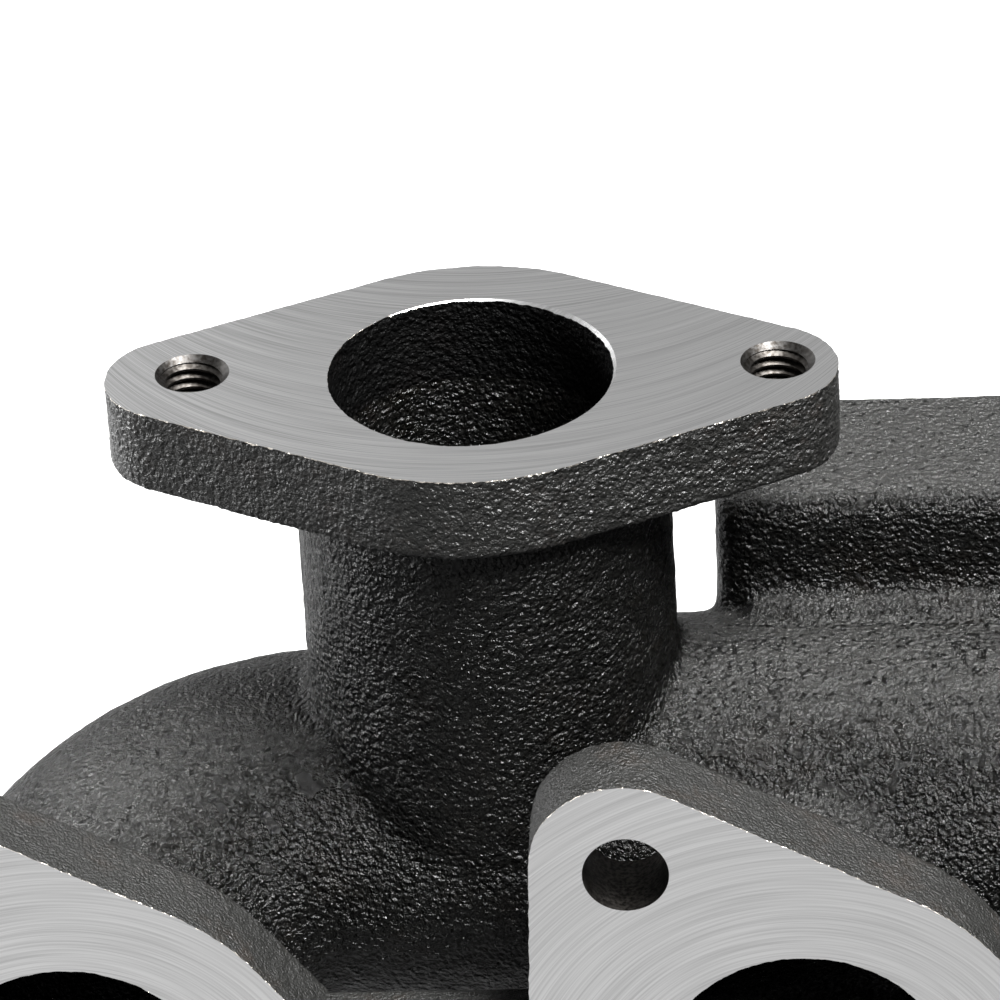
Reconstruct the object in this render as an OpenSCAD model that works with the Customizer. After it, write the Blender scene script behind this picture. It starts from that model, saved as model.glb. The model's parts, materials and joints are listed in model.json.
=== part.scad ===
// Cast-iron exhaust manifold for a four-cylinder turbocharged engine.
// Origin: on the machined head face, midway between ports 2 and 3, at the height of the port centres.
// +X runs along the row of ports, +Y points away from the cylinder head, +Z is up.

/* [Ports] */
// Distance between neighbouring port centres
port_pitch = 90; // [86:0.5:96]
// Diameter of a port opening
port_bore = 36; // [30:0.5:37]
// Thickness of a port flange
port_flange_t = 10.4; // [9:0.2:13]
// Radius of the round middle of a port flange
port_body_r = 29.4; // [28:0.2:31]
// Sideways distance from a port centre to its stud holes
stud_dx = 20.8; // [19:0.2:22]
// Height distance from a port centre to its stud holes
stud_dz = 30.8; // [29:0.2:32]
// Diameter of a drilled stud hole
stud_hole = 10.5; // [8.5:0.5:11]
// Radius of the rounded ear around a stud hole
port_ear_r = 11.3; // [10.5:0.1:12.5]
// Height of the webs that tie the port flanges together
web_h = 15.2; // [10:0.2:20]

/* [Log tube and runners] */
// Distance of the log tube's axis from the head face
log_y = 41.4; // [40:0.2:46]
// Height of the log tube's axis above the port centres
log_z = 10; // [6:0.5:12]
// Outer radius of the runners and of the log tube's ends
runner_r = 23; // [22:0.1:23.6]
// Outer radius of the collector in the middle
collector_r = 26.5; // [25:0.1:28]
// Half the length of the collector
collector_half = 64.5; // [63.5:0.1:65]
// Wall thickness of the tubes
wall = 5; // [4:0.1:6]

/* [Wastegate branch] */
// Distance of the wastegate opening from the middle of the manifold
wastegate_x = 83.8; // [82:0.1:88]
// Height of the machined wastegate face above the port centres
wastegate_z = 77.1; // [72:0.1:84]
// Diameter of the wastegate opening
wastegate_bore = 35; // [32:0.5:38]
// Radius of the round middle of the wastegate flange
wastegate_body_r = 25.8; // [24:0.1:28]
// Distance from the opening to the centre of each rounded end
wastegate_end_dx = 34.9; // [33:0.1:37]
// Radius of the rounded ends
wastegate_end_r = 9.6; // [9:0.1:11]
// Thickness of the wastegate flange
wastegate_flange_t = 11; // [9:0.2:14]
// Distance between the two tapped holes
wastegate_bolts = 71.7; // [68:0.1:74]
// Offset of the tapped holes along the flange from the cast opening
wastegate_shift_x = 1.65; // [0:0.05:2]
// Offset of the tapped holes across the flange from the cast opening
wastegate_shift_y = 1.1; // [0:0.05:2]
// Outer radius of the branch under the flange
wastegate_neck_r = 22.7; // [21:0.1:23]

/* [Turbocharger flange] */
// Width of the flange
turbo_w = 110; // [104:0.5:112]
// Height of the flange
turbo_h = 82.5; // [76:0.5:84]
// Distance of the flange's front face from the head face
turbo_front_y = 51.4; // [50:0.2:54]
// Thickness of the flange
turbo_t = 24.5; // [22:0.5:28]
// Corner radius of the flange
turbo_corner_r = 6; // [4:0.5:10]
// Width of the gas opening
turbo_port_w = 58; // [54:0.5:60]
// Height of the gas opening
turbo_port_h = 43; // [38:0.5:44]
// Spacing of the tapped holes along the flange
turbo_bolts_x = 82; // [78:0.5:86]
// Spacing of the tapped holes up the flange
turbo_bolts_z = 52; // [50:0.5:56]

/* [Hidden] */
$fn = 96;
reach = 1;                    // how far a cutter runs past the face it opens
port_x = [-1.5, -0.5, 0.5, 1.5] * port_pitch;
side_disc_r = port_ear_r + 1; // rounds the straight sides of a port flange
side_disc_x = stud_dx + 0.5;
ear_shift = [0.3, 1.3];       // the cast ears stand a little outside the drilled holes
tilt = atan2(log_z, log_y - port_flange_t);
bend_r = norm([log_y - port_flange_t, log_z]);
log_end_x = port_x[3] - bend_r;
stub = 12;                    // straight tube buried in the back of a port flange
tube_bore_r = runner_r - wall;
collector_bore_r = collector_r - wall;
neck_gap = 0.3;               // keeps the branch's saddle clear of the elbow beside it
neck_overrun = 5;             // the saddle reaches this far past the log tube's end
wastegate_tap_r = 3.4;        // M8 x 1.25 tapping size
turbo_tap_r = 4.25;           // M10 x 1.5 tapping size
turbo_tap_depth = 20;
turbo_port_corner = 10;
turbo_face_y = turbo_front_y + turbo_t;
cast_iron = "#34332f";

// ---- outlines ----

// The two ends of the straight side between discs a and b, each [x, y, r], going anticlockwise
function tangent_side(a, b) =
    let (
        step = [b[0] - a[0], b[1] - a[1]],
        along = step / norm(step),
        lean = (a[2] - b[2]) / norm(step),
        out = [along[1], -along[0]] * sqrt(1 - lean * lean) + along * lean
    )
    [[a[0], a[1]] + a[2] * out, [b[0], b[1]] + b[2] * out];

// A plate outline drawn round a ring of discs, as a belt runs round pulleys
module belt_outline(discs) {
    last = len(discs) - 1;
    for (d = discs) translate([d[0], d[1]]) circle(r = d[2]);
    polygon([for (i = [0 : last]) each tangent_side(discs[i], discs[i == last ? 0 : i + 1])]);
}

module rounded_rectangle(w, h, r) {
    x = w / 2 - r;
    y = h / 2 - r;
    belt_outline([[x, -y, r], [x, y, r], [-x, y, r], [-x, -y, r]]);
}

// Stands a 2D outline up in the XZ plane and gives it thickness t along +Y
module upright(t) {
    translate([0, t, 0]) rotate([90, 0, 0]) linear_extrude(t) children();
}

// ---- port flanges and webs ----

module port_blank(t) {
    ear = [stud_dx, stud_dz] + ear_shift;
    body = [0, 0, port_body_r];
    upright(t) belt_outline([
        [ear[0], -ear[1], port_ear_r],
        [side_disc_x, 0, side_disc_r],
        body,
        [-ear[0], ear[1], port_ear_r],
        [-side_disc_x, 0, side_disc_r],
        body
    ]);
}

module port_flange(i) {
    color(cast_iron) translate([port_x[i], 0, 0]) difference() {
        port_blank(port_flange_t);
        translate([0, -reach, 0]) upright(port_flange_t + 2 * reach) circle(d = port_bore);
        for (side = [-1, 1]) translate([-side * stud_dx, -reach, side * stud_dz])
            upright(port_flange_t + 2 * reach) circle(d = stud_hole);
    }
}

module web(i) {
    middle = (port_x[i] + port_x[i + 1]) / 2;
    color(cast_iron) difference() {
        translate([middle - port_pitch / 4, 0, -web_h / 2])
            cube([port_pitch / 2, port_flange_t, web_h]);
        for (k = [i, i + 1]) translate([port_x[k], -reach, 0]) port_blank(port_flange_t + 2 * reach);
    }
}

// ---- tubes ----

// Places a runner's own axes: origin at the back of port i, +Y along the rising tube
module at_port(i) {
    translate([port_x[i], port_flange_t, 0]) rotate([tilt, 0, 0]) children();
}

// Straight rod of radius r that rises from port i to the log tube's axis
module runner_rod(i, r) {
    at_port(i) translate([0, -stub, 0]) rotate([-90, 0, 0]) cylinder(r = r, h = bend_r + stub);
}

// Bent rod of radius r from an end port to the end of the log tube
module elbow_rod(i, r) {
    turn = port_x[i] < 0 ? 0 : 1;
    at_port(i) mirror([turn, 0, 0]) {
        translate([0, -stub, 0]) rotate([-90, 0, 0]) cylinder(r = r, h = stub);
        translate([bend_r, 0, 0]) rotate([0, 0, 90]) rotate_extrude(angle = 90)
            translate([bend_r, 0]) circle(r = r);
    }
}

// Round rod along the log tube's axis, from x1 to x2, tapered from radius r1 to r2
module log_rod(x1, x2, r1, r2) {
    translate([x1, log_y, log_z]) rotate([0, 90, 0]) cylinder(r1 = r1, r2 = r2, h = x2 - x1);
}

// The taper between an end elbow and the collector; past is how far it runs on at both ends
module log_side_rod(side, r_end, r_middle, past = 0) {
    growth = (r_middle - r_end) / (log_end_x - collector_half) * past;
    mirror([side > 0 ? 1 : 0, 0, 0])
        log_rod(-log_end_x - past, -collector_half + past, r_end - growth, r_middle + growth);
}

// Keeps only what lies behind the port flanges
module behind_flanges() {
    intersection() {
        translate([-port_pitch * 2.5, port_flange_t, -port_pitch])
            cube([port_pitch * 5, port_pitch, port_pitch * 2]);
        children();
    }
}

module elbow(i) {
    color(cast_iron) difference() {
        behind_flanges() elbow_rod(i, runner_r);
        elbow_rod(i, tube_bore_r);
    }
}

module runner(i) {
    color(cast_iron) difference() {
        behind_flanges() runner_rod(i, runner_r);
        log_rod(-collector_half, collector_half, collector_r, collector_r);
        log_side_rod(i == 1 ? -1 : 1, runner_r, collector_r);
        runner_rod(i, tube_bore_r);
    }
}

module log_side(side) {
    color(cast_iron) difference() {
        log_side_rod(side, runner_r, collector_r);
        log_side_rod(side, tube_bore_r, collector_bore_r, reach);
        if (side < 0) wastegate_passage();
    }
}

module collector() {
    color(cast_iron) difference() {
        log_rod(-collector_half, collector_half, collector_r, collector_r);
        log_rod(-collector_half - reach, collector_half + reach, collector_bore_r, collector_bore_r);
        for (i = [1, 2]) runner_rod(i, tube_bore_r);
        turbo_passage();
    }
}

// ---- wastegate branch ----

module wastegate_passage() {
    translate([-wastegate_x, log_y, log_z]) cylinder(d = wastegate_bore, h = wastegate_z - log_z + reach);
}

module wastegate_neck() {
    neck_top = wastegate_z - wastegate_flange_t;
    color(cast_iron) difference() {
        translate([-wastegate_x + wastegate_shift_x / 2, log_y, log_z])
            cylinder(r = wastegate_neck_r, h = neck_top - log_z);
        log_side_rod(-1, runner_r + neck_gap, collector_r, neck_overrun);
        wastegate_passage();
    }
}

module wastegate_flange() {
    body = [0, 0, wastegate_body_r];
    color(cast_iron) translate([-wastegate_x, log_y, wastegate_z - wastegate_flange_t]) difference() {
        linear_extrude(wastegate_flange_t) belt_outline([
            [wastegate_end_dx, 0, wastegate_end_r],
            body,
            [-wastegate_end_dx, 0, wastegate_end_r],
            body
        ]);
        translate([0, 0, -reach]) cylinder(d = wastegate_bore, h = wastegate_flange_t + 2 * reach);
        for (side = [-1, 1])
            translate([wastegate_shift_x + side * wastegate_bolts / 2, wastegate_shift_y, -reach])
                cylinder(r = wastegate_tap_r, h = wastegate_flange_t + 2 * reach);
    }
}

// ---- turbocharger flange ----

module turbo_passage() {
    translate([0, log_y, log_z]) upright(turbo_face_y - log_y + reach)
        rounded_rectangle(turbo_port_w, turbo_port_h, turbo_port_corner);
}

module turbo_flange() {
    color(cast_iron) difference() {
        translate([0, turbo_front_y, log_z]) upright(turbo_t)
            rounded_rectangle(turbo_w, turbo_h, turbo_corner_r);
        log_rod(-turbo_w, turbo_w, collector_r, collector_r);
        turbo_passage();
        for (x = [-1, 1], z = [-1, 1])
            translate([x * turbo_bolts_x / 2, turbo_face_y - turbo_tap_depth, log_z + z * turbo_bolts_z / 2])
                upright(turbo_tap_depth + reach) circle(r = turbo_tap_r);
    }
}

port_flange(0);  // port_flange_1
port_flange(1);  // port_flange_2
port_flange(2);  // port_flange_3
port_flange(3);  // port_flange_4
web(0);  // web_1_2
web(1);  // web_2_3
web(2);  // web_3_4
elbow(0);  // elbow_1
runner(1);  // runner_2
runner(2);  // runner_3
elbow(3);  // elbow_4
log_side(-1);  // log_left
collector();
log_side(1);  // log_right
wastegate_neck();
wastegate_flange();
turbo_flange();
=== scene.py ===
import json
import math
import bpy
from mathutils import Matrix, Vector


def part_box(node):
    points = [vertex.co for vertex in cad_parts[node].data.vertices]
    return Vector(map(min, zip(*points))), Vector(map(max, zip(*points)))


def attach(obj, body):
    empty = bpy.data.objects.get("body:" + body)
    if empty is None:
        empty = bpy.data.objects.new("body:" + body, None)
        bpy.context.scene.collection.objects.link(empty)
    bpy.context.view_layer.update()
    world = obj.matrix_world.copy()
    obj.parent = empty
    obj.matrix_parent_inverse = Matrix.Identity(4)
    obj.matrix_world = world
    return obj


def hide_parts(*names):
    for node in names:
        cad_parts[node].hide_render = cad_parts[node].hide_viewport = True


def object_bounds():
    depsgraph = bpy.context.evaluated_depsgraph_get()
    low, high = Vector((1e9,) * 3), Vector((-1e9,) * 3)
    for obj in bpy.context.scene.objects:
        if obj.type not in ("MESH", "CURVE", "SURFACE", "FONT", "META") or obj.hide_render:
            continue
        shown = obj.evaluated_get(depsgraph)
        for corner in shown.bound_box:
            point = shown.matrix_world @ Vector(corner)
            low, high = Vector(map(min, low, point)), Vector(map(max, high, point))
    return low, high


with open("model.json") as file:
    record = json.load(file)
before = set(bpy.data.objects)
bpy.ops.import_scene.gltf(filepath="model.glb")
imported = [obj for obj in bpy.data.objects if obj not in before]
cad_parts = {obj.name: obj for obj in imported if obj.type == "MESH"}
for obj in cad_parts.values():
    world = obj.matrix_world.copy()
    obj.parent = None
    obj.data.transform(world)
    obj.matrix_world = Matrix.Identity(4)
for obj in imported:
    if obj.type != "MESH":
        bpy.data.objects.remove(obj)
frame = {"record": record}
cad_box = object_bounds()

# ---------------------------------------------------------------------------------------------
# The iron, as it comes out of the sand.
# A manifold is poured in nodular iron. The sand leaves an orange-peel skin of pits and grains, and
# the black oxide on it is close to satin, so it looks near black with small bright glints.
# ---------------------------------------------------------------------------------------------
MM = 0.001


def from_hex(colour):
    """Linear RGBA of an sRGB hex colour."""
    parts = [int(colour[i:i + 2], 16) / 255 for i in (1, 3, 5)]
    return [c / 12.92 if c <= 0.04045 else ((c + 0.055) / 1.055) ** 2.4 for c in parts] + [1]


def add_node(tree, kind, settings=None, links=None):
    """Adds a shader node. settings fills properties and input sockets, links joins them to outputs."""
    node = tree.nodes.new(kind)
    for key, value in (settings or {}).items():
        if isinstance(key, str) and hasattr(node, key):
            setattr(node, key, value)
        else:
            node.inputs[key].default_value = value
    for key, output in (links or {}).items():
        tree.links.new(output, node.inputs[key])
    return node


def new_material(name):
    """An empty material, its Principled shader and its Object coordinates."""
    made = bpy.data.materials.new(name)
    made.use_nodes = True
    shader = made.node_tree.nodes["Principled BSDF"]
    place = made.node_tree.nodes.new("ShaderNodeTexCoord").outputs["Object"]
    return made, made.node_tree, shader, place


GRAIN = 0.6 * MM        # width of one sand grain's print
GRAIN_DEPTH = 0.8 * MM
PEEL = 1.9 * MM         # width of the softer orange peel under the grains
PEEL_DEPTH = 0.34 * MM
STAIN = 9 * MM          # width of the faint brown stains
BURR = 0.24 * MM        # how far the bright burr of a milled edge reaches down the cast wall
CHIP = 1.3 * MM         # length of one chip of that burr


def burr_mask(tree, place, axis, height):
    """1 on a ragged line along a milled edge, 0 elsewhere. The milled plane is at height on the axis."""
    xyz = add_node(tree, "ShaderNodeSeparateXYZ", {}, {"Vector": place})
    away = add_node(tree, "ShaderNodeMath", {"operation": "SUBTRACT", 1: height},
                    {0: xyz.outputs[axis]})
    depth = add_node(tree, "ShaderNodeMath", {"operation": "ABSOLUTE"}, {0: away.outputs[0]})
    chips = add_node(tree, "ShaderNodeTexNoise", {"Scale": 1 / CHIP, "Detail": 2.0}, {"Vector": place})
    reach = add_node(tree, "ShaderNodeMapRange", {"From Min": 0.4, "From Max": 0.72, "To Max": BURR},
                     {"Value": chips.outputs["Fac"]})
    return add_node(tree, "ShaderNodeMath", {"operation": "LESS_THAN"},
                    {0: depth.outputs[0], 1: reach.outputs["Result"]}).outputs[0]


def cast_iron_material(name, colour, rust, roughness, grain=GRAIN, depth=GRAIN_DEPTH,
                       peel_depth=PEEL_DEPTH, burr=None, sheen=0.34, top_light_colour=None):
    """Sand-cast iron: even dark oxide over sand-grain bumps and a softer peel, with a trace of rust.
    The last argument is a lighter colour painted on faces that look up: painted light from above."""
    made, tree, shader, place = new_material(name)
    grit = add_node(tree, "ShaderNodeTexNoise", {"Scale": 1 / grain, "Detail": 2.5, "Roughness": 0.55},
                    {"Vector": place})
    cells = add_node(tree, "ShaderNodeTexVoronoi", {"Scale": 0.8 / grain}, {"Vector": place})
    height = add_node(tree, "ShaderNodeMath", {"operation": "MULTIPLY_ADD", 1: -0.35},
                      {0: cells.outputs["Distance"], 2: grit.outputs["Fac"]})
    peel = add_node(tree, "ShaderNodeTexNoise", {"Scale": 1 / PEEL, "Detail": 1.0}, {"Vector": place})
    stain = add_node(tree, "ShaderNodeTexNoise", {"Scale": 1 / STAIN, "Detail": 8.0, "Roughness": 0.8},
                     {"Vector": place})
    rusty = add_node(tree, "ShaderNodeMapRange", {"From Min": 0.52, "From Max": 0.7, "To Max": 0.8},
                     {"Value": stain.outputs["Fac"]})
    tint = add_node(tree, "ShaderNodeMix",
                    {"data_type": "RGBA", 6: from_hex(colour), 7: from_hex(rust)},
                    {0: rusty.outputs["Result"]}).outputs[2]
    # Faces that look up are painted lighter here: painted light from above.
    if top_light_colour:
        level = add_node(tree, "ShaderNodeSeparateXYZ", {},
                         {"Vector": tree.nodes.new("ShaderNodeNewGeometry").outputs["Normal"]})
        painted_top_light = add_node(tree, "ShaderNodeMapRange", {"From Min": 0.75, "From Max": 0.99},
                           {"Value": level.outputs["Z"]})
        tint = add_node(tree, "ShaderNodeMix", {"data_type": "RGBA", 7: from_hex(top_light_colour)},
                        {0: painted_top_light.outputs["Result"], 6: tint}).outputs[2]
    gloss = add_node(tree, "ShaderNodeMapRange",
                     {"From Min": 0.35, "From Max": 0.65,
                      "To Min": roughness + 0.1, "To Max": roughness - 0.05},
                     {"Value": peel.outputs["Fac"]}).outputs["Result"]
    low = add_node(tree, "ShaderNodeBump", {"Strength": 1.0, "Distance": peel_depth},
                   {"Height": peel.outputs["Fac"]})
    high = add_node(tree, "ShaderNodeBump", {"Strength": 1.0, "Distance": depth},
                    {"Height": height.outputs[0], "Normal": low.outputs["Normal"]})
    if burr:
        mask = burr_mask(tree, place, *burr)
        tint = add_node(tree, "ShaderNodeMix", {"data_type": "RGBA", 7: from_hex("#c9c2b8")},
                        {0: mask, 6: tint}).outputs[2]
        gloss = add_node(tree, "ShaderNodeMix", {"data_type": "FLOAT", 3: 0.4},
                         {0: mask, 2: gloss}).outputs[0]
        tree.links.new(mask, shader.inputs["Metallic"])
    tree.links.new(tint, shader.inputs["Base Color"])
    tree.links.new(gloss, shader.inputs["Roughness"])
    tree.links.new(high.outputs["Normal"], shader.inputs["Normal"])
    shader.inputs["Specular IOR Level"].default_value = sheen
    return made


sand_cast = cast_iron_material("sand_cast_iron", "#090908", "#110e0b", 0.28)
# The turbocharger block's upward faces are painted lighter: painted light from above.
block_cast_painted_top = cast_iron_material("sand_cast_iron_block_painted_top", "#090908", "#110e0b", 0.28, top_light_colour="#2e2e2d")

# ---------------------------------------------------------------------------------------------
# The outside of the tubes, made in one as the pattern for the mould is.
# Straight and bent rods, the branch and the turbocharger block are joined, and the joints are
# rounded by the pattern maker's fillets. It is meant to be cut into
# its named stretches further down; the known fault there says why it isn't yet.
# ---------------------------------------------------------------------------------------------
SKIN_CELL = 0.62 * MM       # spacing of the skin's mesh
FILLET_PASSES = 34          # rounds of smoothing, which set the size of the fillets
mounts = {m["name"]: m for m in frame["record"]["mounts"]}
port_x = [mounts[f"port_{n}"]["pos_m"][0] for n in (1, 2, 3, 4)]
port_bore_r = mounts["port_1"]["dims"]["r_mm"] * MM
flange_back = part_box("port_flange_1")[1].y
elbow_low, elbow_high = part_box("elbow_1")
collector_low, collector_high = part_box("collector")
neck_low, neck_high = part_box("wastegate_neck")
turbo_low, turbo_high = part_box("turbo_flange")
log_y = (collector_low.y + collector_high.y) / 2
log_z = (collector_low.z + collector_high.z) / 2
collector_r = (collector_high.z - collector_low.z) / 2
collector_end = collector_high.x
tube_r = port_x[0] - elbow_low.x
log_end = -elbow_high.x
rise = math.atan2(log_z, log_y - flange_back)
bend_r = math.hypot(log_z, log_y - flange_back)
uphill = Vector((0, math.cos(rise), math.sin(rise)))
neck_x = (neck_low.x + neck_high.x) / 2
NECK_ALLOWANCE = 0.5 * MM   # what the smoothing takes off the branch again
neck_r = (neck_high.x - neck_low.x) / 2 + NECK_ALLOWANCE
wall = tube_r - port_bore_r


def select(*objects):
    """Deselects everything, then selects these objects; the first becomes active."""
    bpy.ops.object.select_all(action="DESELECT")
    for thing in objects:
        thing.select_set(True)
    bpy.context.view_layer.objects.active = objects[0]


def settle(thing):
    """Puts an object's place, turn and size into its mesh."""
    select(thing)
    bpy.ops.object.transform_apply(location=True, rotation=True, scale=True)
    return thing


def shape(thing, kind, **settings):
    """Adds a modifier with these settings and applies it."""
    select(thing)
    modifier = thing.modifiers.new(kind.lower(), kind)
    for key, value in settings.items():
        setattr(modifier, key, value)
    bpy.ops.object.modifier_apply(modifier=modifier.name)
    return thing


def join(name, *things):
    """Joins meshes into the first, which takes the name."""
    select(*things)
    bpy.ops.object.join()
    things[0].name = name
    return things[0]


def delete(*things):
    select(*things)
    bpy.ops.object.delete()


def copy_of(thing, name):
    """A copy with its own mesh."""
    select(thing)
    bpy.ops.object.duplicate()
    made = bpy.context.object
    made.name = name
    return made


def rod(start, end, r_start, r_end=None, sides=96):
    """A round rod, straight or tapered, with flat ends."""
    start, end = Vector(start), Vector(end)
    bpy.ops.object.select_all(action="DESELECT")
    bpy.ops.mesh.primitive_cone_add(
        vertices=sides, radius1=r_start, radius2=r_start if r_end is None else r_end,
        depth=(end - start).length, location=(start + end) / 2,
        rotation=(end - start).to_track_quat("Z", "Y").to_euler())
    return settle(bpy.context.object)


def block(low, high):
    """A box between two corners."""
    low, high = Vector(low), Vector(high)
    bpy.ops.object.select_all(action="DESELECT")
    bpy.ops.mesh.primitive_cube_add(size=1, location=(low + high) / 2, scale=high - low)
    return settle(bpy.context.object)


def bent_rod(side, radius):
    """A quarter bend from an end port, rising as it turns in towards the log tube; side -1 is left."""
    start = Vector((port_x[0] if side < 0 else port_x[3], flange_back, 0))
    centre = start + Vector((-side * bend_r, 0, 0))
    bpy.ops.object.select_all(action="DESELECT")
    bpy.ops.mesh.primitive_circle_add(vertices=96, radius=radius, fill_type="NGON", location=start,
                                      rotation=uphill.to_track_quat("Z", "Y").to_euler())
    made = settle(bpy.context.object)
    bpy.ops.object.mode_set(mode="EDIT")
    bpy.ops.mesh.select_all(action="SELECT")
    bpy.ops.mesh.spin(steps=36, angle=-side * math.pi / 2, center=centre,
                      axis=(0, -math.sin(rise), math.cos(rise)))
    bpy.ops.mesh.select_all(action="SELECT")
    bpy.ops.mesh.remove_doubles(threshold=0.001 * MM)
    bpy.ops.mesh.normals_make_consistent(inside=False)
    bpy.ops.object.mode_set(mode="OBJECT")
    return made


def port_end(x):
    return Vector((x, flange_back, 0))


def log_point(x):
    return Vector((x, log_y, log_z))


FOOT_FLARE = 5.5 * MM  # how far a tube flares out behind its port flange
FOOT_TUCK = 0.3 * MM   # the flare ends this far inside the tube
FOOT_L = 7 * MM
BURIED = 10 * MM       # how far a tube runs on inside its port flange before it is cut flat
BLOCK_EDGE = 3 * MM    # rounding of the turbocharger block's edges
BEAD_R = 2.6 * MM      # a bead of extra pattern wax along the block's foot
BEAD_OUT = 1.2 * MM
BEAD_UP = 0.6 * MM
BEAD_SHORT = 4 * MM
solids = []
for side in (-1, 1):
    end = side * log_end
    solids.append(bent_rod(side, tube_r))
    solids.append(rod(log_point(end), log_point(side * collector_end), tube_r, collector_r))
for x in port_x:
    inner = x in port_x[1:3]
    if inner:
        solids.append(rod(port_end(x), log_point(x), tube_r))
    solids.append(rod(port_end(x) - uphill * BURIED, port_end(x), tube_r))
    solids.append(rod(port_end(x) - uphill * BURIED, port_end(x) + uphill * FOOT_L,
                      tube_r + FOOT_FLARE, tube_r - FOOT_TUCK))
solids.append(rod(log_point(-collector_end), log_point(collector_end), collector_r))
solids.append(rod((neck_x, log_y, log_z), (neck_x, log_y, neck_high.z + BURIED), neck_r))
turbo_block = block((turbo_low.x, turbo_low.y, turbo_low.z),
                    (turbo_high.x, turbo_high.y + BURIED, turbo_high.z))
solids.append(shape(turbo_block, "BEVEL", width=BLOCK_EDGE, segments=3))
bead_y = turbo_low.y - BEAD_OUT
bead_z = log_z + math.sqrt(collector_r ** 2 - (turbo_low.y - log_y) ** 2) + BEAD_UP
solids.append(rod((turbo_low.x + BEAD_SHORT, bead_y, bead_z),
                  (turbo_high.x - BEAD_SHORT, bead_y, bead_z), BEAD_R))
skin = join("skin", *solids)
shape(skin, "REMESH", mode="VOXEL", voxel_size=SKIN_CELL)
shape(skin, "SMOOTH", factor=0.5, iterations=FILLET_PASSES)

# The sand never gives a perfectly even face: slow swells, then shallow lumps a few grains wide.
swell = bpy.data.textures.new("swell", "CLOUDS")
swell.noise_scale = 9 * MM
lumps = bpy.data.textures.new("lumps", "CLOUDS")
lumps.noise_scale = 1.7 * MM
grit = bpy.data.textures.new("grit", "CLOUDS")
grit.noise_scale = 0.8 * MM
GRIT_DEPTH = 0.25 * MM
SWELL_DEPTH = 0.35 * MM
LUMP_DEPTH = 0.22 * MM
shape(skin, "DISPLACE", texture=swell, strength=SWELL_DEPTH, mid_level=0.5)
shape(skin, "DISPLACE", texture=lumps, strength=LUMP_DEPTH, mid_level=0.5)

# ---------------------------------------------------------------------------------------------
# The gas passage, which the sand core leaves.
# The same run of rods at bore size, with the core's own soft corners, taken out of the skin.
# ---------------------------------------------------------------------------------------------
CORE_CELL = 1.0 * MM
wastegate_at = Vector(mounts["wastegate_bore"]["pos_m"])
wastegate_r = mounts["wastegate_bore"]["dims"]["r_mm"] * MM
openings = {o["name"]: o for o in frame["record"]["physics"]["openings"]}
turbo_opening = openings["turbo_inlet"]["box_m"]
CORE_CORNER = 3 * MM        # what the smoothing takes off the core's corners again
CORE_PASSES = 14
voids = []
for side in (-1, 1):
    voids.append(bent_rod(side, port_bore_r))
    voids.append(rod(log_point(side * log_end), log_point(side * collector_end),
                     port_bore_r, collector_r - wall))
for x in port_x:
    if x in port_x[1:3]:
        voids.append(rod(port_end(x), log_point(x), port_bore_r))
    voids.append(rod(port_end(x) - uphill * BURIED, port_end(x), port_bore_r))
voids.append(rod(log_point(-collector_end), log_point(collector_end), collector_r - wall))
voids.append(rod(log_point(wastegate_at.x), (wastegate_at.x, wastegate_at.y, neck_high.z + 2 * BURIED),
                 wastegate_r))
low, high = Vector(turbo_opening[0]), Vector(turbo_opening[1])
voids.append(block((low.x - CORE_CORNER, low.y, low.z - CORE_CORNER),
                   (high.x + CORE_CORNER, high.y + 2 * BURIED, high.z + CORE_CORNER)))
core = join("core", *voids)
shape(core, "REMESH", mode="VOXEL", voxel_size=CORE_CELL)
shape(core, "SMOOTH", factor=0.5, iterations=CORE_PASSES)
shape(core, "DISPLACE", texture=lumps, strength=LUMP_DEPTH, mid_level=0.5)


ON_PLANE = 0.0001 * MM      # a point this close to a cutting plane counts as on it


def cut(thing, tool, operation="DIFFERENCE"):
    """Takes the tool's shape out of the thing, or keeps only what both share."""
    return shape(thing, "BOOLEAN", operation=operation, solver="MANIFOLD", object=tool)


def trim(thing, point, normal):
    """Cuts the thing flat at a plane, drops what lies on the normal's side and closes the cut."""
    select(thing)
    bpy.ops.object.mode_set(mode="EDIT")
    bpy.ops.mesh.select_all(action="SELECT")
    bpy.ops.mesh.bisect(plane_co=point, plane_no=normal, use_fill=True, clear_outer=True,
                        threshold=ON_PLANE)
    bpy.ops.mesh.select_all(action="SELECT")
    bpy.ops.mesh.normals_make_consistent(inside=False)
    bpy.ops.object.mode_set(mode="OBJECT")
    return thing


cut(skin, core)
delete(core)
trim(skin, (0, flange_back, 0), (0, -1, 0))
trim(skin, (0, turbo_high.y, 0), (0, 1, 0))
trim(skin, (0, 0, neck_high.z), (0, 0, 1))

# ---------------------------------------------------------------------------------------------
# The skin's named stretches: two elbows, two short runners, the log tube's two tapers, the
# collector, the wastegate branch and the turbocharger block, each meant to be cut out flat.
# KNOWN FAULT: the trim at the turbocharger face leaves a small slit in the skin. The cuts
# below need a closed skin and are refused, so all nine pieces still hold the whole skin.
# ---------------------------------------------------------------------------------------------
FAR = 400 * MM
NECK_CUT_Z = log_z + collector_r + 1.5 * MM
RUNNER_CUT_R = tube_r + 5 * MM
RUNNER_CUT_L = 9 * MM
NECK_SIDE = 3.5 * MM        # how far the branch's stretch reaches past its tube on the right
BLOCK_SIDE = 4 * MM         # how far the block's stretch reaches past the block
BLOCK_FRONT = 0.8 * MM      # and how far in front of it
SMOOTH_ANGLE = math.radians(34)


def finish_piece(made, node, slot, *materials):
    """Shades a piece, dresses it when materials are given, hangs it under the root body and hides the
    CAD node that it stands for.
    """
    select(made)
    bpy.ops.object.shade_smooth_by_angle(angle=SMOOTH_ANGLE)
    if materials:
        made.data.materials.clear()
        for material in materials:
            made.data.materials.append(material)
    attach(made, "root")
    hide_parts(node)
    return made


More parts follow.
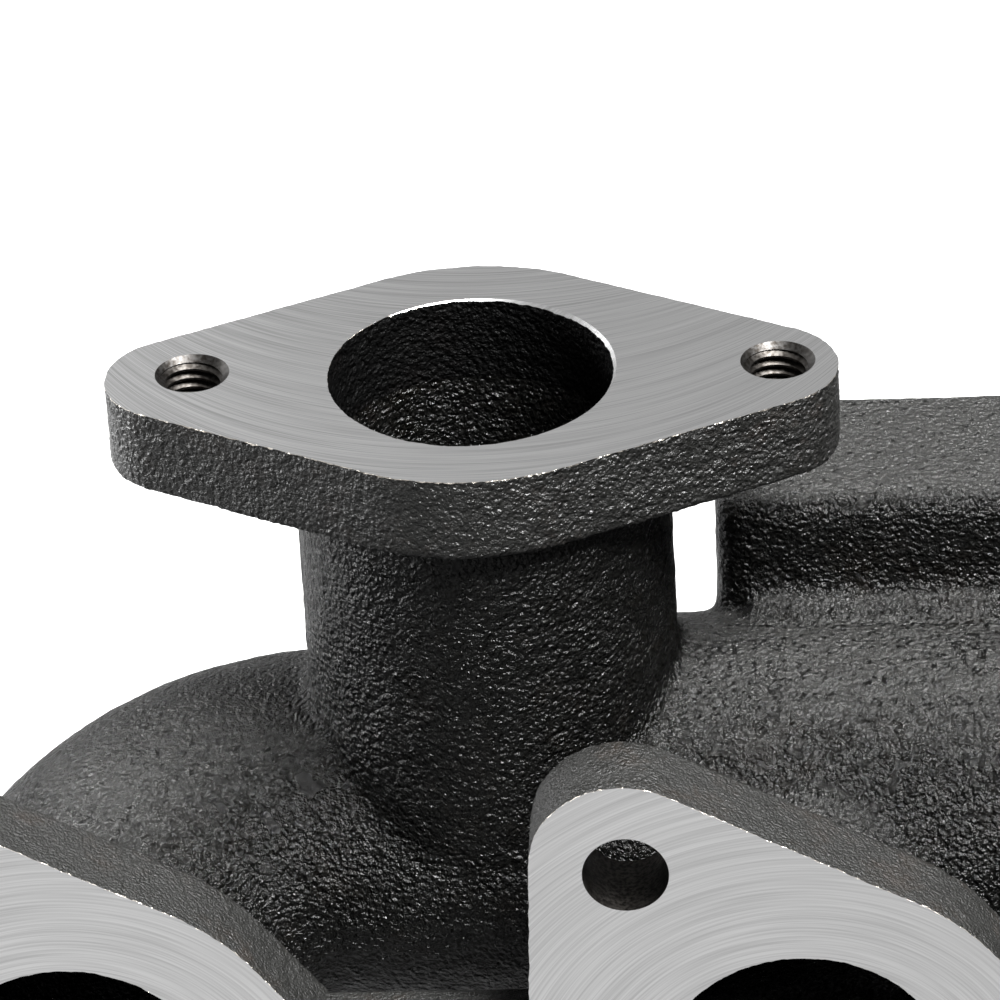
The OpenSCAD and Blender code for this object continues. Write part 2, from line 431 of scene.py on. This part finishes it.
def stretch(name, keep, *drop):
    """Meant as the skin inside the keep shape and outside the drop shapes; see the fault above."""
    made = copy_of(skin, name)
    cut(made, keep, "INTERSECT")
    for tool in drop:
        cut(made, tool)
    return made


neck_space = block((neck_x - 2 * neck_r, -FAR, NECK_CUT_Z), (neck_x + neck_r + NECK_SIDE, FAR, FAR))
turbo_space = block((turbo_low.x - BLOCK_SIDE, turbo_low.y - BLOCK_FRONT, -FAR),
                    (turbo_high.x + BLOCK_SIDE, FAR, FAR))
runner_spaces = [rod(port_end(x) - uphill * 2 * BURIED, port_end(x) + uphill * RUNNER_CUT_L,
                     RUNNER_CUT_R) for x in port_x[1:3]]
elbow_left = block((-FAR, -FAR, -FAR), (-log_end, FAR, FAR))
elbow_right = block((log_end, -FAR, -FAR), (FAR, FAR, FAR))
taper_left = block((-log_end, -FAR, -FAR), (-collector_end, FAR, FAR))
taper_right = block((collector_end, -FAR, -FAR), (log_end, FAR, FAR))
middle = block((-collector_end, -FAR, -FAR), (collector_end, FAR, FAR))
pieces = {
    "elbow_1": stretch("cast_elbow_1", elbow_left, neck_space),
    "elbow_4": stretch("cast_elbow_4", elbow_right),
    "log_left": stretch("cast_log_left", taper_left, neck_space),
    "log_right": stretch("cast_log_right", taper_right),
    "collector": stretch("cast_collector", middle, turbo_space, neck_space, *runner_spaces),
    "runner_2": stretch("cast_runner_2", runner_spaces[0]),
    "runner_3": stretch("cast_runner_3", runner_spaces[1]),
    "wastegate_neck": stretch("cast_wastegate_neck", neck_space),
}
turbo_piece = stretch("cast_turbo_flange", turbo_space)
delete(skin, neck_space, turbo_space, *runner_spaces, elbow_left, elbow_right,
       taper_left, taper_right, middle)
for node, made in pieces.items():
    finish_piece(made, node, "cast_iron", sand_cast)

# ---------------------------------------------------------------------------------------------
# The wastegate flange: a cast diamond with round ends, milled flat on top with a face cutter.
# Its opening stays as cast, and two holes are drilled, countersunk and tapped M8 x 1.25.
# ---------------------------------------------------------------------------------------------
CUTTER_R = 52 * MM          # radius of the face cutter whose tooth marks stay on the milled face
TOOTH_FEED = 0.28 * MM      # distance between tooth marks
FLANGE_CELL = 0.45 * MM
BAND = 6                    # broader bands of marks, in feeds
STREAK = 70                 # length of a mark, in its own widths
MILL_STOCK = 5 * MM         # iron left on a cast face for the milling to take off
WG_EDGE_PASSES = 16         # rounds of smoothing, which set how soft the cast edges are


def milled_material(name, swept, bright, dull):
    """Face-milled iron: bright metal with fine arcs. swept(tree, place) gives the distances across
    and along the arcs."""
    made, tree, shader, place = new_material(name)
    across, along = swept(tree, place)
    marks = []
    for width, detail in ((TOOTH_FEED, 1.0), (TOOTH_FEED * BAND, 2.0)):
        spread = add_node(tree, "ShaderNodeCombineXYZ", {}, {"X": across, "Y": along})
        stretched = add_node(tree, "ShaderNodeMapping", {"Scale": (1 / width, 1 / (STREAK * width), 1)},
                             {"Vector": spread.outputs["Vector"]})
        marks.append(add_node(tree, "ShaderNodeTexNoise",
                              {"noise_dimensions": "2D", "Scale": 1.0, "Detail": detail,
                               "Roughness": 0.6},
                              {"Vector": stretched.outputs["Vector"]}))
    both = add_node(tree, "ShaderNodeMix", {"data_type": "FLOAT", 0: 0.35},
                    {2: marks[0].outputs["Fac"], 3: marks[1].outputs["Fac"]})
    tone = add_node(tree, "ShaderNodeValToRGB", {}, {"Fac": both.outputs[0]})
    tone.color_ramp.elements[0].position = 0.3
    tone.color_ramp.elements[0].color = from_hex(dull)
    tone.color_ramp.elements[1].position = 0.68
    tone.color_ramp.elements[1].color = from_hex(bright)
    matt = add_node(tree, "ShaderNodeMapRange", {"To Min": 0.5, "To Max": 0.34},
                    {"Value": both.outputs[0]})
    rough = add_node(tree, "ShaderNodeBump", {"Strength": 0.6, "Distance": 0.02 * MM},
                     {"Height": both.outputs[0]})
    tree.links.new(tone.outputs["Color"], shader.inputs["Base Color"])
    tree.links.new(matt.outputs["Result"], shader.inputs["Roughness"])
    tree.links.new(rough.outputs["Normal"], shader.inputs["Normal"])
    shader.inputs["Metallic"].default_value = 1.0
    return made


def straight_pass(centre_x, radius):
    """Arcs of one radius, one behind the other, as a cutter leaves when it is fed along -Y."""
    def swept(tree, place):
        xyz = add_node(tree, "ShaderNodeSeparateXYZ", {}, {"Vector": place})
        off = add_node(tree, "ShaderNodeMath", {"operation": "SUBTRACT", 1: centre_x},
                       {0: xyz.outputs["X"]})
        square = add_node(tree, "ShaderNodeMath", {"operation": "MULTIPLY"},
                          {0: off.outputs[0], 1: off.outputs[0]})
        left = add_node(tree, "ShaderNodeMath", {"operation": "SUBTRACT", 0: radius ** 2},
                        {1: square.outputs[0]})
        bow = add_node(tree, "ShaderNodeMath", {"operation": "SQRT"}, {0: left.outputs[0]})
        total = add_node(tree, "ShaderNodeMath", {"operation": "ADD"},
                         {0: xyz.outputs["Y"], 1: bow.outputs[0]})
        return total.outputs[0], off.outputs[0]
    return swept


wastegate_face = Vector(mounts["wastegate_face"]["pos_m"])
flange_low, flange_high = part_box("wastegate_flange")
# The wastegate face's milled iron is painted far darker than the same milled iron on the other faces:
# painted shade against the stronger light on this upward face.
milled_top_painted_dark = milled_material("milled_iron_wastegate_face_painted_dark", straight_pass(wastegate_at.x, CUTTER_R),
                             "#9c9c9c", "#747474")
flange_cast = cast_iron_material("sand_cast_iron_flange", "#0f0f0e", "#17120f", 0.37, 0.54 * MM,
                                 0.62 * MM, burr=("Z", wastegate_face.z))
# The cast walls of the openings get a near-black colour and almost no sheen, darker than the same iron
# outside: painted shade deep in the wastegate opening and the ports.
bore_cast_painted_shade = cast_iron_material("core_cast_iron_bore_painted_shade", "#040404", "#060505", 0.4,
                               burr=("Z", wastegate_face.z), sheen=0.03)
port_bore_cast_painted_shade = cast_iron_material("core_cast_iron_port_painted_shade", "#070606", "#0b0908", 0.4,
                                    burr=("Y", 0.0), sheen=0.06)


SPECK = 0.5 * MM            # size of the torn spots that a drill or a tap leaves


def drilled_material(name, colour, roughness, tear_depth):
    """Drilled or tapped iron: dull metal with dark torn spots where graphite came out."""
    made, tree, shader, place = new_material(name)
    specks = add_node(tree, "ShaderNodeTexNoise", {"Scale": 1 / SPECK, "Detail": 3.0}, {"Vector": place})
    tone = add_node(tree, "ShaderNodeValToRGB", {}, {"Fac": specks.outputs["Fac"]})
    tone.color_ramp.elements[0].position = 0.38
    tone.color_ramp.elements[0].color = from_hex("#1d1b19")
    tone.color_ramp.elements[1].position = 0.62
    tone.color_ramp.elements[1].color = from_hex(colour)
    bumps = add_node(tree, "ShaderNodeBump", {"Strength": 1.0, "Distance": tear_depth},
                     {"Height": specks.outputs["Fac"]})
    tree.links.new(tone.outputs["Color"], shader.inputs["Base Color"])
    tree.links.new(bumps.outputs["Normal"], shader.inputs["Normal"])
    shader.inputs["Metallic"].default_value = 1.0
    shader.inputs["Roughness"].default_value = roughness
    return made


# The countersinks and threads are painted far darker than the same machined iron on the milled faces:
# painted shade inside the holes.
countersunk_painted_dark = drilled_material("countersunk_iron_painted_shade", "#343332", 0.45, 0.03 * MM)
tapped_painted_dark = drilled_material("tapped_iron_painted_shade", "#363432", 0.42, 0.015 * MM)
drilled = drilled_material("drilled_iron", "#4a4744", 0.38, 0.05 * MM)


def dress(thing, material):
    """Gives the whole thing one material, which a cut then carries over to the walls that it makes."""
    thing.data.materials.clear()
    thing.data.materials.append(material)
    return thing


def drill(thing, tool, material):
    """Cuts with a tool whose material stays on the wall of the hole."""
    dress(tool, material)
    shape(thing, "BOOLEAN", operation="DIFFERENCE", solver="MANIFOLD", material_mode="TRANSFER",
          object=tool)
    delete(tool)
    return thing


def mill(thing, point, normal, material):
    """Gives the flat face that lies in a plane its own material."""
    thing.data.materials.append(material)
    index = len(thing.data.materials) - 1
    corners = thing.data.vertices
    for face in thing.data.polygons:
        heights = [(corners[i].co - Vector(point)).dot(Vector(normal)) for i in face.vertices]
        if all(abs(height) < 0.01 * MM for height in heights):
            face.material_index = index
    return thing


def belt_plate(name, discs, thickness, upright):
    """A plate round some discs, each (x, y, radius), with stock on its face; upright plates face -Y."""
    made = []
    for x, y, radius in discs:
        if upright:
            start, end = (x, -MILL_STOCK, y), (x, thickness, y)
        else:
            start, end = (x, y, 0), (x, y, thickness + MILL_STOCK)
        made.append(rod(start, end, radius, sides=128))
    plate = join(name, *made)
    bpy.ops.object.mode_set(mode="EDIT")
    bpy.ops.mesh.select_all(action="SELECT")
    bpy.ops.mesh.convex_hull()
    bpy.ops.object.mode_set(mode="OBJECT")
    return plate


def cast_skin(plate, passes):
    """Rounds a plate's corners and gives it the lumps of the sand."""
    shape(plate, "REMESH", mode="VOXEL", voxel_size=FLANGE_CELL)
    shape(plate, "SMOOTH", factor=0.5, iterations=passes)
    shape(plate, "DISPLACE", texture=swell, strength=SWELL_DEPTH * 0.5, mid_level=0.5)
    shape(plate, "DISPLACE", texture=lumps, strength=LUMP_DEPTH, mid_level=0.4)
    shape(plate, "DISPLACE", texture=grit, strength=GRIT_DEPTH, mid_level=0.4)
    return plate


def rough_bore(start, end, radius):
    """A core print: a rod with the slightly uneven wall of the sand core."""
    tool = rod(start, end, radius, sides=160)
    shape(tool, "REMESH", mode="VOXEL", voxel_size=FLANGE_CELL)
    shape(tool, "SMOOTH", factor=0.5, iterations=4)
    shape(tool, "DISPLACE", texture=grit, strength=GRIT_DEPTH, mid_level=0.5)
    return shape(tool, "DISPLACE", texture=lumps, strength=LUMP_DEPTH, mid_level=0.5)


def tap(centre, direction, core_r, crest_r, pitch, length):
    """A threaded rod that cuts a tapped hole: one tooth's outline, screwed round an axis, with the
    turns merged and both ends cut flat and closed."""
    bpy.ops.object.select_all(action="DESELECT")
    bpy.ops.mesh.primitive_plane_add(size=pitch)
    tool = bpy.context.object
    tool.data.clear_geometry()
    outline = [(core_r, 0, 0), (core_r, 0, pitch * 0.22), (crest_r, 0, pitch * 0.55),
               (crest_r, 0, pitch * 0.67), (core_r, 0, pitch)]
    tool.data.from_pydata(outline, [(i, i + 1) for i in range(len(outline) - 1)], [])
    turns = math.ceil(length / pitch) + 3
    shape(tool, "SCREW", axis="Z", angle=math.tau, screw_offset=pitch, iterations=turns, steps=48,
          render_steps=48)
    select(tool)
    bpy.ops.object.mode_set(mode="EDIT")
    bpy.ops.mesh.select_all(action="SELECT")
    bpy.ops.mesh.remove_doubles(threshold=0.005 * MM)
    for height, keep_above in ((pitch * 1.5, True), (pitch * 1.5 + length, False)):
        bpy.ops.mesh.select_all(action="SELECT")
        bpy.ops.mesh.bisect(plane_co=(0, 0, height), plane_no=(0, 0, 1), threshold=ON_PLANE,
                            clear_inner=keep_above, clear_outer=not keep_above)
    bpy.ops.mesh.select_all(action="SELECT")
    bpy.ops.mesh.fill_holes(sides=0)
    bpy.ops.mesh.select_all(action="SELECT")
    bpy.ops.mesh.normals_make_consistent(inside=False)
    bpy.ops.transform.translate(value=(0, 0, -pitch * 1.5))
    bpy.ops.object.mode_set(mode="OBJECT")
    tool.location = centre
    tool.rotation_euler = Vector(direction).to_track_quat("Z", "Y").to_euler()
    return settle(tool)


bolts = mounts["wastegate_bolts"]
WG_BODY_R = (flange_high.y - flange_low.y) / 2
WG_END_R = 9.6 * MM
WG_SPREAD = 0.35 * MM       # what the smoothing takes off the ends again
wg_middle = (flange_high.x + flange_low.x) / 2
wg_end_x = (flange_high.x - flange_low.x) / 2 - WG_END_R
wg_thick = flange_high.z - flange_low.z
wg = belt_plate("cast_wastegate_flange",
                [(0, 0, WG_BODY_R), (wg_end_x + WG_SPREAD, 0, WG_END_R),
                 (-wg_end_x - WG_SPREAD, 0, WG_END_R)], wg_thick, False)
wg.location = (wg_middle, wastegate_at.y, flange_low.z)
settle(wg)
cast_skin(wg, WG_EDGE_PASSES)
dress(wg, flange_cast)
trim(wg, (0, 0, flange_high.z), (0, 0, 1))
mill(wg, (0, 0, flange_high.z), (0, 0, 1), milled_top_painted_dark)
drill(wg, rough_bore((wastegate_at.x, wastegate_at.y, flange_low.z - BURIED),
                     (wastegate_at.x, wastegate_at.y, flange_high.z + BURIED), wastegate_r), bore_cast_painted_shade)
M8_CREST_R = 4.0 * MM
M8_CORE_R = bolts["dims"]["hole_r_mm"] * MM
M8_PITCH = 1.25 * MM
SINK_R = 4.6 * MM
SINK_DEPTH = 1.25 * MM
for side in (-1, 1):
    at = Vector(bolts["pos_m"]) + Vector((side * bolts["dims"]["spacing_x_mm"] * MM / 2, 0, 0))
    drill(wg, tap(at - Vector((0, 0, wg_thick + MM)), (0, 0, 1), M8_CORE_R, M8_CREST_R, M8_PITCH,
                  wg_thick + 2 * MM), tapped_painted_dark)
    drill(wg, rod(at - Vector((0, 0, SINK_DEPTH)), at + Vector((0, 0, 0.02 * MM)),
                  SINK_R - SINK_DEPTH, SINK_R, sides=96), countersunk_painted_dark)
NICK = 0.35 * MM            # the far edge of the opening is broken off in a narrow bright crescent
NICK_DEPTH = 1.6 * MM
NICK_TAPER = 1.5 * MM
nick_at = Vector((wastegate_at.x, wastegate_at.y, flange_high.z)) + NICK * Vector((0.85, 0.52, 0))
drill(wg, rod(nick_at - Vector((0, 0, NICK_DEPTH)), nick_at + Vector((0, 0, 0.01 * MM)),
              wastegate_r - NICK_TAPER, wastegate_r + 0.06 * MM, sides=192), milled_top_painted_dark)
finish_piece(wg, "wastegate_flange", "machined_iron")

# ---------------------------------------------------------------------------------------------
# The four port flanges, all cast from one pattern.
# The head side is milled flat, leaving rings round each port; the edges and the port stay as
# cast, and each has two drilled stud holes.
# ---------------------------------------------------------------------------------------------
studs = mounts["port_1_studs"]
STUD_R = studs["dims"]["hole_r_mm"] * MM
STUD_AT = (-20.8 * MM, 30.8 * MM)
EAR_AT = (-21.1 * MM, 32.1 * MM)
EAR_R = 11.3 * MM
SIDE_AT = -21.3 * MM
SIDE_R = 12.3 * MM
BODY_R = 29.4 * MM
RING_CENTRE_Z = -5 * MM     # the cutter's rings are centred a little below the port
RING_R = 30 * MM            # radius at which marks are as long as they are on a straight pass
PORT_EDGE_PASSES = 9


def round_pass(centres, height):
    """Rings round the nearest of some centres, as a cutter leaves when it plunges on each port."""
    pitch = centres[1] - centres[0]

    def swept(tree, place):
        xyz = add_node(tree, "ShaderNodeSeparateXYZ", {}, {"Vector": place})
        shift = add_node(tree, "ShaderNodeMath", {"operation": "ADD", 1: pitch / 2},
                         {0: xyz.outputs["X"]})
        near = add_node(tree, "ShaderNodeMath",
                        {"operation": "WRAP", 1: pitch / 2, 2: -pitch / 2}, {0: shift.outputs[0]})
        up = add_node(tree, "ShaderNodeMath", {"operation": "SUBTRACT", 1: height},
                      {0: xyz.outputs["Z"]})
        flat = add_node(tree, "ShaderNodeCombineXYZ", {}, {"X": near.outputs[0], "Y": up.outputs[0]})
        length = add_node(tree, "ShaderNodeVectorMath", {"operation": "LENGTH"},
                          {0: flat.outputs["Vector"]})
        angle = add_node(tree, "ShaderNodeMath", {"operation": "ARCTAN2"},
                         {0: near.outputs[0], 1: up.outputs[0]})
        arc = add_node(tree, "ShaderNodeMath", {"operation": "MULTIPLY", 1: RING_R},
                       {0: angle.outputs[0]})
        return length.outputs["Value"], arc.outputs[0]
    return swept


milled_port = milled_material("milled_iron_head_face", round_pass(port_x, RING_CENTRE_Z),
                              "#e4e4e4", "#c2c2c2")
port_cast = cast_iron_material("sand_cast_iron_port_flange", "#131312", "#1b1612", 0.44, 0.4 * MM,
                               0.46 * MM, 0.2 * MM, burr=("Y", 0.0), sheen=0.22)
for n, x in enumerate(port_x, start=1):
    discs = [(0, 0, BODY_R)]
    for s in (-1, 1):
        discs += [(s * EAR_AT[0], s * EAR_AT[1], EAR_R), (s * SIDE_AT, 0, SIDE_R)]
    plate = belt_plate(f"cast_port_flange_{n}", discs, flange_back, True)
    plate.location = (x, 0, 0)
    settle(plate)
    cast_skin(plate, PORT_EDGE_PASSES)
    dress(plate, port_cast)
    trim(plate, (0, 0, 0), (0, -1, 0))
    mill(plate, (0, 0, 0), (0, -1, 0), milled_port)
    drill(plate, rough_bore((x, -BURIED, 0), (x, flange_back + BURIED, 0), port_bore_r), port_bore_cast_painted_shade)
    for s in (-1, 1):
        at = Vector((x + s * STUD_AT[0], 0, s * STUD_AT[1]))
        drill(plate, rod(at - Vector((0, BURIED, 0)), at + Vector((0, flange_back + BURIED, 0)),
                         STUD_R, sides=96), drilled)
    finish_piece(plate, f"port_flange_{n}", "machined_iron")

# ---------------------------------------------------------------------------------------------
# The webs that tie the port flanges into one row, cast with them and milled on the head side.
# ---------------------------------------------------------------------------------------------
WEB_OVERLAP = 2 * MM        # how far a web runs into the flanges beside it
WEB_STEP = 0.6 * MM         # its back stands this far in from the flanges' backs
WEB_FACE = 0.05 * MM        # and its milled face just behind theirs
WEB_PASSES = 14
for n in (1, 2, 3):
    low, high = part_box(f"web_{n}_{n + 1}")
    web = block((low.x - WEB_OVERLAP, -MILL_STOCK, low.z),
                (high.x + WEB_OVERLAP, high.y - WEB_STEP, high.z))
    web.name = f"cast_web_{n}_{n + 1}"
    shape(web, "REMESH", mode="VOXEL", voxel_size=FLANGE_CELL)
    shape(web, "SMOOTH", factor=0.5, iterations=WEB_PASSES)
    shape(web, "DISPLACE", texture=lumps, strength=LUMP_DEPTH, mid_level=0.5)
    dress(web, port_cast)
    trim(web, (0, WEB_FACE, 0), (0, -1, 0))
    mill(web, (0, WEB_FACE, 0), (0, -1, 0), milled_port)
    finish_piece(web, f"web_{n}_{n + 1}", "cast_iron")

# ---------------------------------------------------------------------------------------------
# The turbocharger flange: the block's back face, milled flat, with four holes tapped M10 x 1.5.
# KNOWN FAULT: these holes are refused for the same reason as the stretches, so they are missing.
# ---------------------------------------------------------------------------------------------
milled_back = milled_material("milled_iron_turbo_face", round_pass([-FAR, FAR], log_z),
                              "#e0e0e0", "#c0c0c0")
M10_CREST_R = 5.0 * MM
M10_PITCH = 1.5 * MM
M10_DEPTH = 20 * MM
M10_SINK = 0.7 * MM
M10_SINK_DEPTH = 0.9 * MM
dress(turbo_piece, block_cast_painted_top)
mill(turbo_piece, (0, turbo_high.y, 0), (0, 1, 0), milled_back)
turbo_at = Vector(mounts["turbo_bolts"]["pos_m"])
turbo_bolts = mounts["turbo_bolts"]["dims"]
for sx in (-1, 1):
    for sz in (-1, 1):
        at = turbo_at + Vector((sx * turbo_bolts["spacing_x_mm"] * MM / 2, 0,
                                sz * turbo_bolts["spacing_y_mm"] * MM / 2))
        drill(turbo_piece, tap(at - Vector((0, M10_DEPTH, 0)), (0, 1, 0),
                               turbo_bolts["hole_r_mm"] * MM, M10_CREST_R, M10_PITCH,
                               M10_DEPTH + MM), tapped_painted_dark)
        drill(turbo_piece, rod(at - Vector((0, M10_SINK_DEPTH, 0)), at + Vector((0, 0.02 * MM, 0)),
                               M10_CREST_R, M10_CREST_R + M10_SINK), countersunk_painted_dark)
finish_piece(turbo_piece, "turbo_flange", "machined_iron")

# ---------------------------------------------------------------------------------------------
# The studio: a white room, brighter low down, on the left and behind the part, with one soft
# lamp overhead, one on the left and a white card behind. The floor is a pale panel, lit from
# within so that shadows on it stay faint, and it throws no light on the part.
# ---------------------------------------------------------------------------------------------
room = bpy.data.worlds.new("white_room")
room.use_nodes = True
room_tree = room.node_tree
heading = add_node(room_tree, "ShaderNodeSeparateXYZ", {},
                   {"Vector": room_tree.nodes.new("ShaderNodeTexCoord").outputs["Generated"]})
LEFT_GLOW = 1.7
RIGHT_GLOW = 0.12
FRONT_GLOW = 0.7
BACK_GLOW = 1.15
LOW_GLOW = 1.0
HIGH_GLOW = 0.42
sideways = add_node(room_tree, "ShaderNodeMapRange",
                    {"From Min": -0.9, "From Max": 0.9, "To Min": LEFT_GLOW, "To Max": RIGHT_GLOW},
                    {"Value": heading.outputs["X"]})
lengthways = add_node(room_tree, "ShaderNodeMapRange",
                      {"From Min": -0.8, "From Max": 0.8, "To Min": FRONT_GLOW, "To Max": BACK_GLOW},
                      {"Value": heading.outputs["Y"]})
upwards = add_node(room_tree, "ShaderNodeMapRange",
                   {"From Min": -0.6, "From Max": 0.6, "To Min": LOW_GLOW, "To Max": HIGH_GLOW},
                   {"Value": heading.outputs["Z"]})
level_glow = add_node(room_tree, "ShaderNodeMath", {"operation": "MULTIPLY"},
                      {0: sideways.outputs["Result"], 1: lengthways.outputs["Result"]})
glow = add_node(room_tree, "ShaderNodeMath", {"operation": "MULTIPLY"},
                {0: level_glow.outputs[0], 1: upwards.outputs["Result"]})
lit = room_tree.nodes["Background"]
room_tree.links.new(glow.outputs[0], lit.inputs["Strength"])
seen = add_node(room_tree, "ShaderNodeBackground", {"Strength": 1.2})
room_mix = add_node(room_tree, "ShaderNodeMixShader", {},
                    {0: room_tree.nodes.new("ShaderNodeLightPath").outputs["Is Camera Ray"],
                     1: lit.outputs["Background"], 2: seen.outputs["Background"]})
room_tree.links.new(room_mix.outputs["Shader"], room_tree.nodes["World Output"].inputs["Surface"])
for background in (lit, seen):
    background.inputs["Color"].default_value = from_hex("#ffffff")
bpy.context.scene.world = room


def softbox(name, at, aim, size, power):
    """A square area lamp that looks at a point."""
    bpy.ops.object.select_all(action="DESELECT")
    bpy.ops.object.light_add(type="AREA", location=at)
    lamp = bpy.context.object
    lamp.name = name
    lamp.rotation_euler = (Vector(aim) - Vector(at)).to_track_quat("-Z", "Y").to_euler()
    lamp.data.size = size
    lamp.data.energy = power


softbox("overhead_softbox", (0.26, -0.2, 0.8), (-0.04, 0.04, 0.03), 0.36, 66)
softbox("left_softbox", (-0.75, 0.3, 0.1), (-0.1, 0.04, 0.04), 0.3, 9)
softbox("white_card", (-0.31, 0.33, 0.26), (-0.1, 0.04, 0.077), 0.3, 0.5)

FLOOR_SIZE = 6
FLOOR_GLOW = 0.68
panel, _, panel_shader, _ = new_material("pale_floor_panel")
panel_shader.inputs["Base Color"].default_value = from_hex("#898989")
panel_shader.inputs["Roughness"].default_value = 0.9
panel_shader.inputs["Emission Color"].default_value = from_hex("#ffffff")
panel_shader.inputs["Emission Strength"].default_value = FLOOR_GLOW
bpy.ops.object.select_all(action="DESELECT")
bpy.ops.mesh.primitive_plane_add(size=FLOOR_SIZE, location=(0, 0, cad_box[0][2]))
floor = settle(bpy.context.object)
floor.name = "pale_floor"
floor.data.materials.append(panel)
floor.visible_diffuse = False
floor.visible_glossy = False

bpy.ops.object.select_all(action="DESELECT")
CAMERA_AT = (-37.6 * MM, -639.8 * MM, 481.1 * MM)
right = Vector((0.9983, 0.0347, -0.0467)).normalized()
back = right.cross(Vector((0.0214, 0.5280, 0.8490))).normalized()
up = back.cross(right).normalized()
LENS = 234                  # mm, on a sensor 36 mm wide
bpy.ops.object.camera_add(location=CAMERA_AT)
camera = bpy.context.object
camera.rotation_euler = Matrix((right, up, back)).transposed().to_euler()
camera.data.sensor_width = 36
camera.data.lens = LENS
camera.data.clip_start = 0.01
bpy.context.scene.camera = camera
bpy.context.scene.view_settings.view_transform = "Standard"
